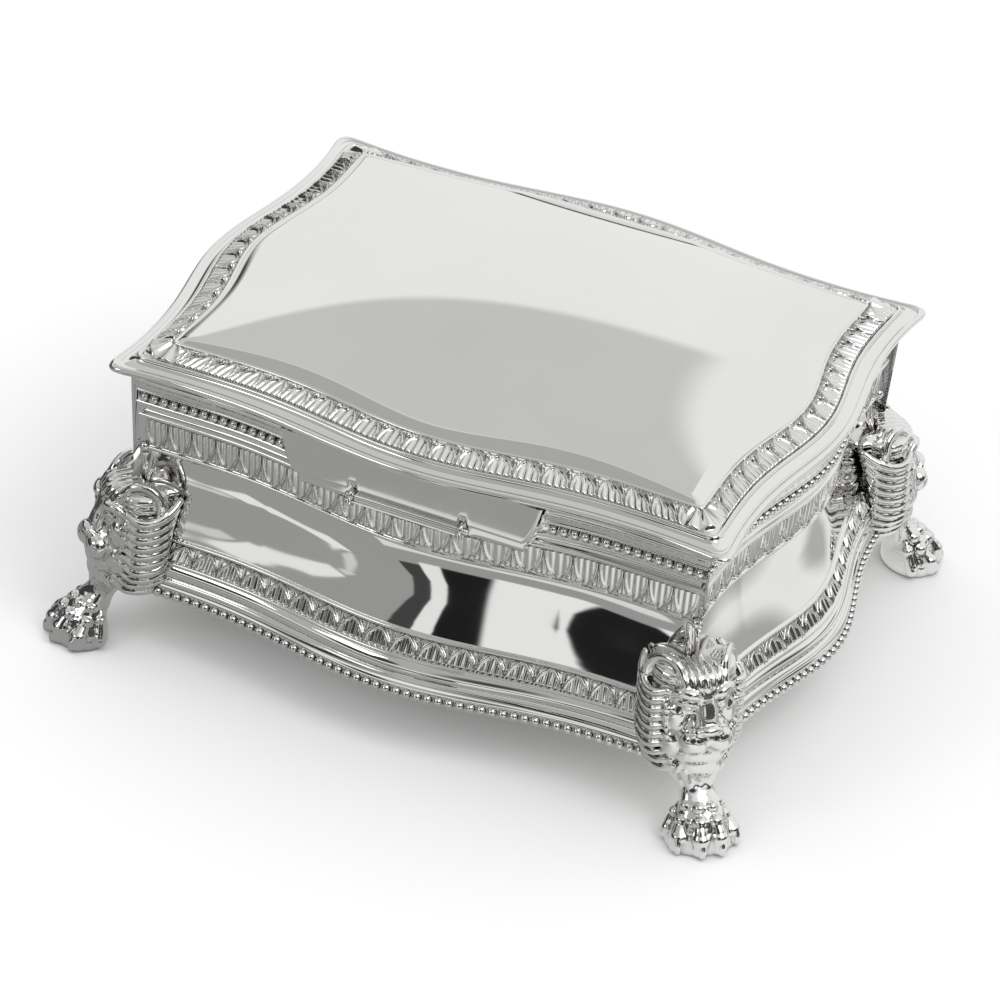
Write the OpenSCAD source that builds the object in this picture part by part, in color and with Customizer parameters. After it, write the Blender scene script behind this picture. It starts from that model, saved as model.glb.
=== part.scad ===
// Keepsake box for a rosary: serpentine bombe walls on four lion-mask paw feet,
// a low domed lid on a short rear hinge, and a velvet lining on card.
// Millimetres, Z up. The origin is on the surface that the paws stand on, at the
// middle of the box. The hinge is on the +Y side, so the lid opens towards +Y.

/* [Lid outline] */
// Mean half length of the lid's wavy outline
lid_half_x = 73.42; // [70:0.01:78]
// Mean half depth of the lid's wavy outline
lid_half_y = 58.84; // [56:0.01:63]
// First wave of the lid's short sides
lid_wave_x = 2.04; // [1.5:0.01:2.6]
// First wave of the lid's long sides
lid_wave_y = 2.45; // [1.8:0.01:2.8]
// Second wave of the short sides
ripple_x = 0.92; // [0.4:0.01:1.2]
// Second wave of the long sides
ripple_y = 1.0; // [0.5:0.01:1.2]
// Flare of the lid's four corner tips
tip_flare = 1.5; // [0:0.1:2]
// Size of the rounding of the lid's corner tips
tip_round = 4.5; // [3:0.1:6]

/* [Body outline] */
// Mean half length of the body's wavy outline
body_half_x = 73.2; // [70:0.01:78]
// First wave of the body's long sides at the top
body_wave_y = 2.6; // [2:0.01:3]

/* [Heights] */
// Underside of the lid's rolled rim
rim_z = 67.85; // [66:0.05:70]
// Rise of the lid's dome above its border
dome_rise = 9.0; // [6:0.1:12]
// Top of the bottom plate
floor_z = 17.2; // [17:0.1:18]

/* [Hinge] */
// Height of the hinge pin's axis
pin_z = 56.3; // [56:0.1:57]
// Distance of the hinge pin's axis behind the middle of the box
pin_y = 58.2; // [58:0.05:58.5]
// Radius of the hinge pin
pin_r = 0.55; // [0.5:0.05:0.6]
// Radial play of the lid's barrel on the pin
pin_play = 0.05; // [0.02:0.01:0.08]
// Outer radius of the barrel
barrel_r = 1.15; // [1.1:0.05:1.2]
// Length of the barrel
barrel_len = 24; // [18:0.5:24]

/* [Lining] */
// Thickness of the velvet-covered card on the walls
wall_lining_t = 2.0; // [1:0.1:3]
// Thickness of the floor pad
floor_pad_t = 2.5; // [1:0.1:4]

/* [Hidden] */

silver = [0.80, 0.81, 0.82];
brass = [0.78, 0.66, 0.38];
velvet = [0.36, 0.05, 0.09];
card = [0.62, 0.52, 0.38];

recess_y = 56.75;   // flat face that is let into the rear wall behind the hinge
recess_z = 54.2;    // ledge at the foot of that face
seam = 0.05;        // half of the mitre gap between two walls
paw_x = 75.4;       // middle of each paw on the ground
paw_y = 61.82;
screw_u = -18.6;    // foot screw, measured from the paw along its diagonal

// ---- outlines --------------------------------------------------------------
// t runs from -1 to 1 along a side, d is the inset, k scales the first wave
function lid_y(t) = lid_half_y + lid_wave_y * cos(180 * t) + ripple_y * cos(360 * t);
function lid_x(t) = lid_half_x + lid_wave_x * cos(180 * t) + ripple_x * cos(360 * t);
function long_y(t, k) = lid_half_y + body_wave_y * k * cos(180 * t) + ripple_y * cos(360 * t);
function short_x(t, k) = body_half_x + (body_wave_y * k + 0.7) * cos(180 * t) + ripple_x * cos(360 * t);
function corner_y(k, d) = long_y(1, k) - d;
function corner_x(k, d) = short_x(1, k) - d;
function clamp01(a) = min(1, max(0, a));

// body outline at one level, as a closed ring of points
function body_ring(k, d, n = 16) = concat(
    [for (i = [0:n - 1]) let (t = -1 + 2 * i / n) [t * corner_x(k, d), -(long_y(t, k) - d)]],
    [for (i = [0:n - 1]) let (t = -1 + 2 * i / n) [short_x(t, k) - d, t * corner_y(k, d)]],
    [for (i = [0:n - 1]) let (t = -1 + 2 * i / n) [-t * corner_x(k, d), long_y(t, k) - d]],
    [for (i = [0:n - 1]) let (t = -1 + 2 * i / n) [-(short_x(t, k) - d), -t * corner_y(k, d)]]);

// ---- wall castings -----------------------------------------------------------
// profile points are [inset, height, wave scale], from the top down outside,
// and from the bottom up inside
out_prof = [[2.7, 67.75, 1], [2.9, 63.8, 1], [2.6, 61.6, 1], [3.9, 60.0, 1], [5.2, 58.2, 1],
    [3.9, 56.1, 1], [4.3, 55.2, 1], [4.41, 54.25, 1], [4.42, 54.1, 1], [5.1, 47.9, 1], [4.8, 47.2, 1],
    [6.1, 46.4, 1], [5.6, 42, 1], [4.7, 37, 1], [3.6, 32, 1], [2.6, 27.9, 1], [2.0, 26.9, 1],
    [0.0, 22.7, 1.15], [-0.7, 20.8, 1.25], [-0.9, 18.4, 1.35], [-2.9, 15.2, 1.4], [-2.3, 13.9, 1.4]];
in_prof = [[3.2, 13.9, 1.3], [3.2, 15.6, 1.3], [0.7, 15.6, 1.3], [0.7, 17.4, 1.3], [1.5, 19.8, 1.3],
    [2.3, 22.2, 1.15], [4.4, 26.8, 1], [5.6, 31.6, 1], [6.7, 36.8, 1], [7.7, 42, 1], [8.1, 45, 1],
    [7.6, 48.2, 1], [6.9, 55.2, 1], [7.0, 58, 1], [6.0, 61.4, 1], [6.4, 65.2, 1], [9.4, 66.4, 1], [9.4, 67.75, 1]];
wall_prof = concat(out_prof, in_prof);

// x of a point on a long wall: upright lines in the middle, mitred at the ends
function long_x(t, k, d) = t * corner_x(1, 0)
    - sign(t) * (corner_x(1, 0) - corner_x(k, d) + seam) * clamp01((abs(t) - 0.5) / 0.5);
function short_y(t, k, d) = t * corner_y(1, 0)
    - sign(t) * (corner_y(1, 0) - corner_y(k, d) + seam) * clamp01((abs(t) - 0.5) / 0.5);

module sweep(rows, closed = true) {
    // rows of equal length, joined by quads, capped at both ends
    n = len(rows);
    m = len(rows[0]);
    polyhedron(
        points = [for (r = rows) each r],
        faces = concat(
            [[for (j = [m - 1:-1:0]) j]],
            [for (i = [0:n - 2], j = [0:m - 1]) [i * m + j, i * m + (j + 1) % m, (i + 1) * m + (j + 1) % m, (i + 1) * m + j]],
            [[for (j = [0:m - 1]) (n - 1) * m + j]]),
        convexity = 10);
}

half_t = [0, 0.115, 0.23, 0.345, 0.36, 0.45, 0.54, 0.63, 0.72, 0.81, 0.9, 1];
long_t = concat([for (i = [len(half_t) - 1:-1:1]) -half_t[i]], half_t);
module long_wall(hinged) {
    sweep([for (t = long_t)
        [for (j = [0:len(wall_prof) - 1])
            let (p = wall_prof[j],
                 y = long_y(t, p[2]) - p[0],
                 cut = !hinged || p[1] < recess_z ? y
                     : j >= len(out_prof) ? min(y, recess_y - 1.8)
                     : abs(t) < 0.35 ? recess_y : min(y, recess_y))
            [long_x(t, p[2], p[0]), cut, p[1]]]]);
}

module short_wall() {
    n = 18;
    sweep([for (i = [0:n]) let (t = -1 + 2 * i / n)
        [for (p = concat(in_prof, out_prof)) [short_x(t, p[2]) - p[0], short_y(t, p[2], p[0]), p[1]]]]);
}

module wall_rear() { color(silver) long_wall(true); }
module wall_front() { color(silver) mirror([0, 1, 0]) long_wall(false); }
module wall_right() { color(silver) short_wall(); }
module wall_left() { color(silver) mirror([1, 0, 0]) short_wall(); }

// ---- bottom plate ------------------------------------------------------------
module at_corners() {
    for (sx = [-1, 1], sy = [-1, 1])
        translate([sx * paw_x, sy * paw_y, 0])
            mirror([sx < 0 ? 1 : 0, 0, 0]) mirror([0, sy < 0 ? 1 : 0, 0])
                rotate([0, 0, 45]) children();
}

module base_plate() {
    color(silver) difference() {
        translate([0, 0, floor_z - 1.6]) linear_extrude(1.6) polygon(body_ring(1.3, 0.8));
        at_corners() translate([screw_u, 0, 0]) cylinder(r = 1.25, h = 40, $fn = 48);
    }
}

// ---- feet --------------------------------------------------------------------
// Local frame: x outward along the diagonal from the middle of the paw, z up.
// corner of the body as seen from the paw: the apex of a right-angled wedge
core_prof = [[13.9, -2.9, 1.4], [15.2, -2.9, 1.4], [18.4, -0.9, 1.35], [20.8, -0.7, 1.25], [22.7, -0.1, 1.15],
    [26.9, 1.9, 1], [32, 3.5, 1], [37, 4.6, 1], [42, 5.5, 1], [46.0, 5.9, 1], [47.0, 4.7, 1], [48.2, 4.6, 1], [50, 4.5, 1]];
apex_tab = [for (p = core_prof) [p[0], (corner_x(p[2], p[1]) - paw_x + corner_y(p[2], p[1]) - paw_y) / sqrt(2) + (p[0] < 24 ? 0.5 : 0.25)]];
function apex(z) = lookup(z, apex_tab);
// front of the casting and its half width, by height: paw, ankle, mask
front_tab = [[0, 6.1], [1.4, 6.8], [3.4, 6.7], [5, 6.1], [6.6, 5.2], [8.2, 3.5], [9.3, 1.6], [10.2, -0.9], [11, -2.3],
    [12.4, -2.8], [13.7, -2.6], [16, -2.4], [18.4, -1.9], [20, -2.3], [21.4, -2.5], [23.2, -0.9], [26.6, -0.1], [30.2, -0.7],
    [34, -2.4], [36.6, -2.6], [38.6, -3.6], [40.2, -5.6], [41.6, -8.0], [42.8, -10.6], [43.6, -12.6]];
width_tab = [[0, 7.6], [1.4, 8.3], [3.4, 8.5], [5, 8.3], [6.6, 7.7], [8.2, 6.6], [9.3, 5.6], [10.2, 4.9], [11, 4.6],
    [12.4, 4.8], [13.7, 5.8], [16, 7.4], [18.4, 8.0], [21.4, 8.5], [26.6, 8.9], [30.2, 8.9], [34, 8.8],
    [36.6, 8.8], [38.6, 8.6], [40.2, 8.0], [41.6, 6.8], [42.8, 4.6], [43.6, 2.0]];
back_tab = [[0, -4.2], [3, -4.6], [6.6, -5.2], [9.3, -6.4], [11, -8.2], [13.8, -10.5]];
// relief of the mask: [x, half distance from the middle, height, spread]
relief = [[1.5, 0, 26.4, 3.6], [-1.7, 4.4, 36.2, 2.0], [1.2, 3.4, 37.6, 2.0], [1.5, 6.6, 37.0, 2.6], [-0.9, 5.2, 30.5, 2.0], [0.7, 0, 17.6, 2.6]];
function bump(y, z) = z < 14 ? 0.35 * sin(max(0, 90 - 9 * abs(z - 4))) * cos(360 * y / 4.3)
    : sum([for (r = relief) r[0] * exp(-(pow(abs(y) - r[1], 2) + pow(z - r[2], 2)) / (r[3] * r[3]))]);
function sum(l, i = 0) = i == len(l) ? 0 : l[i] + sum(l, i + 1);
function foot_row(z, high, m = 22) = let (xf = lookup(z, front_tab), w = lookup(z, width_tab),
        xb = high ? apex(z) - w : lookup(z, back_tab), pw = z < 11 ? 0.62 : 0.8)
    concat([for (i = [0:m]) let (f = -90 + 180 * i / m, y = -w * sign(sin(f)) * pow(abs(sin(f)), 0.9), c = max(0, cos(f)))
            [xb + (xf - xb) * pow(c, pw) + (c > 0.05 ? bump(y, z) : 0), y, z]],
        [[high ? apex(z) : xb - 0.6, 0, z]]);
foot_z = [0, 0.6, 1.6, 2.8, 4, 5.4, 6.8, 8.2, 9.3, 10.2, 11, 12.4, 13.7];
mask_z = [13.75, 15.2, 16.8, 18.4, 20, 21.4, 23.2, 25, 26.8, 28.6, 30.4, 32.2, 33.8, 35.2, 36.6, 38, 39.2, 40.4, 41.6, 42.7, 43.6];

module foot() {
    color(silver) difference() {
        union() {
            sweep(concat([for (z = foot_z) foot_row(z, false)], [for (z = mask_z) foot_row(z, true)]));
            // tongue and screw boss under the bottom plate
            translate([screw_u, -3.2, 12.3]) cube([-screw_u - 6, 6.4, 1.4]);
            translate([screw_u, 0, 12.3]) cylinder(r = 3.4, h = floor_z - 1.6 - 12.3, $fn = 48);
        }
        translate([screw_u, 0, 0]) cylinder(r = 1.4, h = 40, $fn = 48);
    }
}
module foot_rear_right() { translate([paw_x, paw_y, 0]) rotate([0, 0, 45]) foot(); }
module foot_rear_left() { mirror([1, 0, 0]) foot_rear_right(); }
module foot_front_right() { mirror([0, 1, 0]) foot_rear_right(); }
module foot_front_left() { mirror([1, 0, 0]) mirror([0, 1, 0]) foot_rear_right(); }

module foot_screws() {
    color(brass) at_corners() translate([screw_u, 0, 0]) difference() {
        union() {
            translate([0, 0, 12.3]) cylinder(r = 1.25, h = floor_z - 12.3, $fn = 48);
            translate([0, 0, 10.9]) cylinder(r = 2.5, h = 1.4, $fn = 48);
        }
        translate([-3, -0.3, 10.5]) cube([6, 0.6, 1.0]);
    }
}

// ---- lid ---------------------------------------------------------------------
function side_flare(t) = tip_flare * pow(clamp01((abs(t) - 0.72) / 0.28), 2);
// corner control points, and the points of the four sides, at inset d
function lid_cx(d) = lid_x(1) - d + side_flare(1) * clamp01(1 - d / 6);
function lid_cy(d) = lid_y(1) - d + side_flare(1) * clamp01(1 - d / 6);
function lid_long(t, d) = [t * lid_cx(d), lid_y(t) - d + side_flare(t) * clamp01(1 - d / 6)];
function lid_short(t, d) = [lid_x(t) - d + side_flare(t) * clamp01(1 - d / 6), t * lid_cy(d)];
function bez(a, c, b, u) = (1 - u) * (1 - u) * a + 2 * u * (1 - u) * c + u * u * b;
// first quadrant of the lid's outline, from the middle of the +X side to the
// middle of the +Y side; r is the corner rounding
function lid_quad(d, r, n, m) = let (
        ty = 1 - r / lid_cy(d), tx = 1 - r / lid_cx(d),
        a = lid_short(ty, d), b = lid_long(tx, d), c = [lid_cx(d), lid_cy(d)])
    concat([for (i = [0:n]) lid_short(ty * i / n, d)],
        [for (i = [1:m - 1]) bez(a, c, b, i / m)],
        [for (i = [n:-1:0]) lid_long(tx * i / n, d)]);
function lid_ring(d, r, n = 9, m = 4) = let (q = lid_quad(d, r, n, m), k = len(q)) concat(
    [for (i = [0:k - 2]) q[i]],
    [for (i = [k - 1:-1:1]) [-q[i][0], q[i][1]]],
    [for (i = [0:k - 2]) [-q[i][0], -q[i][1]]],
    [for (i = [k - 1:-1:1]) [q[i][0], -q[i][1]]]);
// share of the dome's rise at a point that lies at s of the way from the middle
// to the border, on the ring point p of the border b
function dome_z(s, p, b) = let (u = s * p[0] / b[0], v = s * p[1] / b[1])
    pow(max(0, (1 - u * u) * (1 - v * v)), 0.8);
dome_edge = [62.2, 48.6];

lid_out = [[0.9, 0], [0.25, 0.25], [0, 0.85], [0.25, 1.45], [0.85, 1.75], [1.6, 1.5], [3.2, 1.75], [4.4, 2.6],
    [4.8, 3.3], [9.4, 4.95], [9.9, 5.3], [10.4, 5.15]];
lid_in = [[10.6, 4.0], [9.6, 3.55], [5.4, 1.95], [4.6, 1.15], [2.6, 0.55], [2.4, 0]];
dome_s = [0.94, 0.85, 0.74, 0.6, 0.45, 0.3, 0.14];

function at_z(ring, z) = [for (p = ring) [p[0], p[1], z]];
function dome_rows(d, z0, rise, ss) = let (r0 = lid_ring(d, 1.2), m = max([for (p = r0) p[0]]), k = max([for (p = r0) p[1]]))
    [for (s = ss) [for (p = r0) [s * p[0], s * p[1], z0 + rise * dome_z(s, p, [m + 0.8, k + 0.8])]]];
function rev(l) = [for (i = [len(l) - 1:-1:0]) l[i]];

module lid_shell() {
    rows = concat(
        [for (p = lid_out) at_z(lid_ring(p[0], max(1.2, tip_round - 0.45 * p[0])), rim_z + p[1])],
        dome_rows(10.4, rim_z + 5.15, dome_rise, dome_s),
        rev(dome_rows(10.6, rim_z + 4.0, dome_rise, dome_s)),
        [for (p = lid_in) at_z(lid_ring(p[0], max(1.2, tip_round - 0.45 * p[0])), rim_z + p[1])]);
    n = len(rows);
    m = len(rows[0]);
    a = len(lid_out) + len(dome_s);          // rows of the outside
    top = n * m;                             // crown, outside
    under = n * m + 1;                       // crown, inside
    color(silver) polyhedron(
        points = concat([for (r = rows) each r],
            [[0, 0, rim_z + 5.15 + dome_rise]], [[0, 0, rim_z + 4.0 + dome_rise]]),
        faces = concat(
            [for (i = [0:a - 2], j = [0:m - 1]) [i * m + j, (i + 1) * m + j, (i + 1) * m + (j + 1) % m, i * m + (j + 1) % m]],
            [for (j = [0:m - 1]) [(a - 1) * m + j, top, (a - 1) * m + (j + 1) % m]],
            [for (j = [0:m - 1]) [a * m + (j + 1) % m, under, a * m + j]],
            [for (i = [a:n - 2], j = [0:m - 1]) [i * m + j, (i + 1) * m + j, (i + 1) * m + (j + 1) % m, i * m + (j + 1) % m]],
            [for (j = [0:m - 1]) [(n - 1) * m + j, j, (j + 1) % m, (n - 1) * m + (j + 1) % m]]),
        convexity = 10);
}

module lid_board() {
    color(card) translate([0, 0, rim_z + 2.45]) linear_extrude(0.8) polygon(lid_ring(9.3, 1.5));
}
module lid_lining() {
    color(velvet) translate([0, 0, rim_z + 0.55]) linear_extrude(1.9) polygon(lid_ring(7.3, 1.5));
}

// ---- hinge -------------------------------------------------------------------
module hinge_flange() {
    n = 16;
    w = 24;
    color(silver) {
        translate([0, pin_y + 0.45, 0]) rotate([90, 0, 0]) linear_extrude(0.9)
            polygon([[-22.6, pin_z + 3.5], [22.6, pin_z + 3.5], [28, rim_z - 0.7], [28, rim_z], [-28, rim_z], [-28, rim_z - 0.7]]);
        translate([0, 0, rim_z - 0.7]) linear_extrude(0.7) polygon(concat(
            [[w, pin_y], [-w, pin_y]],
            [for (i = [0:n]) let (x = -w + 2 * w * i / n) [x, max(pin_y + 0.2, lid_y(x / lid_x(1)) - 1.1)]]));
    }
}

module hinge_leaf_lid() {
    t = 0.7;
    y0 = pin_y - barrel_r;
    color(brass) difference() {
        union() {
            translate([-barrel_len / 2, pin_y, pin_z]) rotate([0, 90, 0]) cylinder(r = barrel_r, h = barrel_len, $fn = 48);
            translate([-barrel_len / 2, y0, pin_z]) cube([barrel_len, t, 2.3]);
            translate([-14.5, y0, pin_z + 2.1]) cube([29, t, rim_z - 0.75 - pin_z - 2.1]);
        }
        translate([-20, pin_y, pin_z]) rotate([0, 90, 0]) cylinder(r = pin_r + pin_play, h = 40, $fn = 48);
    }
}

module hinge_leaf_body() {
    ear = 1.2;
    x0 = barrel_len / 2 + 0.2;
    color(brass) difference() {
        union() {
            translate([-x0 - ear, recess_y + 0.1, recess_z + 0.2]) cube([2 * (x0 + ear), 1.25, 0.5]);
            for (s = [-1, 1]) translate([s > 0 ? x0 : -x0 - ear, 0, 0]) {
                translate([0, pin_y, pin_z]) rotate([0, 90, 0]) cylinder(r = 1.35, h = ear, $fn = 48);
                translate([0, recess_y + 0.1, recess_z + 0.2]) cube([ear, 2.9, pin_z - recess_z - 0.2]);
                translate([0, pin_y, pin_z - 1.5]) cube([ear, 2.9, 1.25]);
            }
        }
        translate([-20, pin_y, pin_z]) rotate([0, 90, 0]) cylinder(r = pin_r, h = 40, $fn = 48);
    }
}

module hinge_pin() {
    l = barrel_len / 2 + 1.7;
    color(brass) translate([-l, pin_y, pin_z]) rotate([0, 90, 0]) cylinder(r = pin_r, h = 2 * l, $fn = 48);
}

// ---- lining ------------------------------------------------------------------
in0 = 9.6;
in1 = in0 + wall_lining_t;
pad_z = floor_z + 1.1;
function arc_long(d, n = 14) = [for (i = [0:n]) let (t = -1 + 2 * i / n) [t * corner_x(1, d), long_y(t, 1) - d]];
function arc_short(d, n = 12) = [for (i = [0:n]) let (t = -1 + 2 * i / n) [short_x(t, 1) - d, t * corner_y(1, d)]];
module strip(a, b) {
    translate([0, 0, pad_z]) linear_extrude(rim_z - 0.65 - pad_z) polygon(concat(a, rev(b)));
}
module floor_board() { color(card) translate([0, 0, floor_z + 0.1]) linear_extrude(1.0) polygon(body_ring(1, in0)); }
module lining_floor() { color(velvet) translate([0, 0, pad_z]) linear_extrude(floor_pad_t) polygon(body_ring(1, in1 + 0.2)); }
module lining_rear() { color(velvet) strip(arc_long(in0), arc_long(in1)); }
module lining_front() { color(velvet) mirror([0, 1, 0]) strip(arc_long(in0), arc_long(in1)); }
module lining_right() { color(velvet) strip(arc_short(in0), arc_short(in1)); }
module lining_left() { color(velvet) mirror([1, 0, 0]) strip(arc_short(in0), arc_short(in1)); }

wall_rear();
wall_front();
wall_left();
wall_right();
base_plate();
foot_rear_left();
foot_rear_right();
foot_front_left();
foot_front_right();
foot_screws();
lid_shell();
lid_board();
lid_lining();
hinge_flange();
hinge_leaf_lid();
hinge_leaf_body();
hinge_pin();
floor_board();
lining_floor();
lining_front();
lining_rear();
lining_left();
lining_right();
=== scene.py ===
import bpy, math
import numpy as np
from mathutils import Vector, Matrix


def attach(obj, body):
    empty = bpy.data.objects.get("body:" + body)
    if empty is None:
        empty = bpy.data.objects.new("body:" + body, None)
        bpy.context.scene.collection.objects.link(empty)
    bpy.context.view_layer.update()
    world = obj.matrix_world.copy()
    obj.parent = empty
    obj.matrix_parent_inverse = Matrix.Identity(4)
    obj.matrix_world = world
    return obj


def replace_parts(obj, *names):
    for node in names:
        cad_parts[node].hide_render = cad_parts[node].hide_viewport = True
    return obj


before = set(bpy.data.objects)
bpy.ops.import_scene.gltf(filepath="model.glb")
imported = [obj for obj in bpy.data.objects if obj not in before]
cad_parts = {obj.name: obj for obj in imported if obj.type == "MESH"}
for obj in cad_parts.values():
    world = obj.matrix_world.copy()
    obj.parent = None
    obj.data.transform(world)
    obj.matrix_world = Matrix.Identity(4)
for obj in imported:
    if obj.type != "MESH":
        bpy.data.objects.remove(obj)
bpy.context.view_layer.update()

# All shapes are worked out in millimetres in the row frame: the hinge side is +Y.
MM = 0.001
PI = math.pi
RIM_Z = 67.85
RECESS_Y, RECESS_Z = 56.75, 54.2
PIN_Y, PIN_Z = 58.2, 56.3
FLOOR_Z = 17.2
PAW_X, PAW_Y = 75.4, 61.82


def lid_y(t): return 58.84 + 2.45 * np.cos(PI * t) + 1.0 * np.cos(2 * PI * t)
def lid_x(t): return 73.42 + 2.04 * np.cos(PI * t) + 0.92 * np.cos(2 * PI * t)
def long_y(t, k): return 58.84 + 2.6 * k * np.cos(PI * t) + 1.0 * np.cos(2 * PI * t)
def short_x(t, k): return 73.2 + (2.6 * k + 0.7) * np.cos(PI * t) + 0.92 * np.cos(2 * PI * t)
def smooth(a, b, x):
    u = np.clip((x - a) / (b - a), 0, 1)
    return u * u * (3 - 2 * u)


# ---- mesh helpers ------------------------------------------------------------
def mesh_object(name, verts, faces, body, mats, smooth_it=True):
    me = bpy.data.meshes.new(name)
    me.from_pydata([tuple(v) for v in np.asarray(verts) * MM], [], faces)
    me.validate()
    me.update()
    ob = bpy.data.objects.new(name, me)
    bpy.context.scene.collection.objects.link(ob)
    me.polygons.foreach_set("use_smooth", [smooth_it] * len(me.polygons))
    me.materials.append(mats)
    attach(ob, body)
    return ob


class Soup:
    """Grids and caps that go into one mesh."""
    def __init__(self):
        self.v, self.f, self.n = [], [], 0

    def add(self, verts, faces):
        verts = np.asarray(verts, float).reshape(-1, 3)
        self.v.append(verts)
        self.f.extend([tuple(int(i) + self.n for i in q) for q in faces])
        self.n += len(verts)

    def grid(self, p, wrap_cols=False, wrap_rows=False, flip=False):
        r, c = p.shape[:2]
        i, j = np.meshgrid(np.arange(r if wrap_rows else r - 1), np.arange(c if wrap_cols else c - 1), indexing="ij")
        a = i * c + j
        b = i * c + (j + 1) % c
        d = ((i + 1) % r) * c + j
        e = ((i + 1) % r) * c + (j + 1) % c
        q = np.stack([a, b, e, d] if not flip else [a, d, e, b], -1).reshape(-1, 4)
        self.add(p.reshape(-1, 3), q)

    def ball(self, c, r, seg=12, rings=8, axis=2):
        """A whole ball with its poles along an axis."""
        th = np.linspace(0, PI, rings + 1)[1:-1]
        ph = np.linspace(0, 2 * PI, seg, endpoint=False)
        pts = np.array([[math.sin(a) * math.cos(b), math.sin(a) * math.sin(b), math.cos(a)] for a in th for b in ph])
        pts = np.vstack([pts, [0, 0, 1], [0, 0, -1]])
        if axis == 1:
            pts = pts[:, [0, 2, 1]] * [1, 1, -1]
        if axis == 0:
            pts = pts[:, [2, 0, 1]]
        f = []
        m = len(th)
        for i in range(m - 1):
            for j in range(seg):
                f.append((i * seg + j, (i + 1) * seg + j, (i + 1) * seg + (j + 1) % seg, i * seg + (j + 1) % seg))
        for j in range(seg):
            f.append((m * seg, j, (j + 1) % seg))
            f.append((m * seg + 1, (m - 1) * seg + (j + 1) % seg, (m - 1) * seg + j))
        self.add(pts * r + np.asarray(c), f)

    def object(self, name, body, slot, mats, smooth_it=True):
        return mesh_object(name, np.vstack(self.v), self.f, body, mats, smooth_it)


def normals(p):
    """Unit normals of a grid of points."""
    du = np.gradient(p, axis=0)
    dv = np.gradient(p, axis=1)
    n = np.cross(dv, du)
    return n / np.maximum(np.linalg.norm(n, axis=-1, keepdims=True), 1e-9)


# ---- materials ---------------------------------------------------------------
def new_mat(name):
    m = bpy.data.materials.new(name)
    m.use_nodes = True
    nt = m.node_tree
    nt.nodes.clear()
    out = nt.nodes.new("ShaderNodeOutputMaterial")
    bsdf = nt.nodes.new("ShaderNodeBsdfPrincipled")
    nt.links.new(bsdf.outputs[0], out.inputs[0])
    return m, nt, bsdf


def noise(nt, scale, detail=3, rough=0.5, dist=0.0):
    tc = nt.nodes.new("ShaderNodeTexCoord")
    n = nt.nodes.new("ShaderNodeTexNoise")
    n.inputs["Scale"].default_value = scale
    n.inputs["Detail"].default_value = detail
    n.inputs["Roughness"].default_value = rough
    n.inputs["Distortion"].default_value = dist
    nt.links.new(tc.outputs["Object"], n.inputs["Vector"])
    return n


def ramp(nt, src, stops):
    r = nt.nodes.new("ShaderNodeValToRGB")
    els = r.color_ramp.elements
    while len(els) < len(stops):
        els.new(0.5)
    for e, (p, c) in zip(els, stops):
        e.position = p
        e.color = (*c, 1) if len(c) == 3 else c
    nt.links.new(src, r.inputs[0])
    return r


def silver(name, base=(0.82, 0.815, 0.80), rough=(0.10, 0.22), patina_and_shade=0.0, ao_mm=1.2, bump=0.02):
    m, nt, b = new_mat(name)
    b.inputs["Metallic"].default_value = 1.0
    n1 = noise(nt, 60, 4, 0.55)
    rr = ramp(nt, n1.outputs[0], [(0.3, (rough[0],) * 3), (0.75, (rough[1],) * 3)])
    tone = ramp(nt, noise(nt, 22, 3, 0.5).outputs[0], [(0.3, tuple(c * 0.95 for c in base)), (0.7, base)])
    if patina_and_shade:
        # ambient occlusion darkens the base colour in hollows: partly real patina, partly painted shade; the same mask
        # also roughens them
        ao = nt.nodes.new("ShaderNodeAmbientOcclusion")
        ao.samples = 5
        ao.inputs["Distance"].default_value = ao_mm * MM
        dark = ramp(nt, ao.outputs["AO"], [(0.15, (1 - patina_and_shade,) * 3), (0.55, (1 - 0.55 * patina_and_shade,) * 3), (0.84, (1, 1, 1))])
        mx = nt.nodes.new("ShaderNodeMix")
        mx.data_type = "RGBA"
        mx.blend_type = "MULTIPLY"
        mx.inputs[0].default_value = 1.0
        nt.links.new(tone.outputs[0], mx.inputs[6])
        nt.links.new(dark.outputs[0], mx.inputs[7])
        nt.links.new(mx.outputs[2], b.inputs["Base Color"])
        ad = nt.nodes.new("ShaderNodeMath")
        ad.operation = "SUBTRACT"
        ad.inputs[0].default_value = 1.0
        nt.links.new(dark.outputs[0], ad.inputs[1])
        mul = nt.nodes.new("ShaderNodeMath")
        mul.operation = "MULTIPLY_ADD"
        mul.inputs[1].default_value = 0.35
        nt.links.new(ad.outputs[0], mul.inputs[0])
        nt.links.new(rr.outputs[0], mul.inputs[2])
        nt.links.new(mul.outputs[0], b.inputs["Roughness"])
    else:
        nt.links.new(tone.outputs[0], b.inputs["Base Color"])
        nt.links.new(rr.outputs[0], b.inputs["Roughness"])
    if not bump:
        return m
    fine = noise(nt, 900, 3, 0.6)
    bp = nt.nodes.new("ShaderNodeBump")
    bp.inputs["Strength"].default_value = bump
    bp.inputs["Distance"].default_value = 0.0002
    nt.links.new(fine.outputs[0], bp.inputs["Height"])
    nt.links.new(bp.outputs[0], b.inputs["Normal"])
    return m


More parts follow.
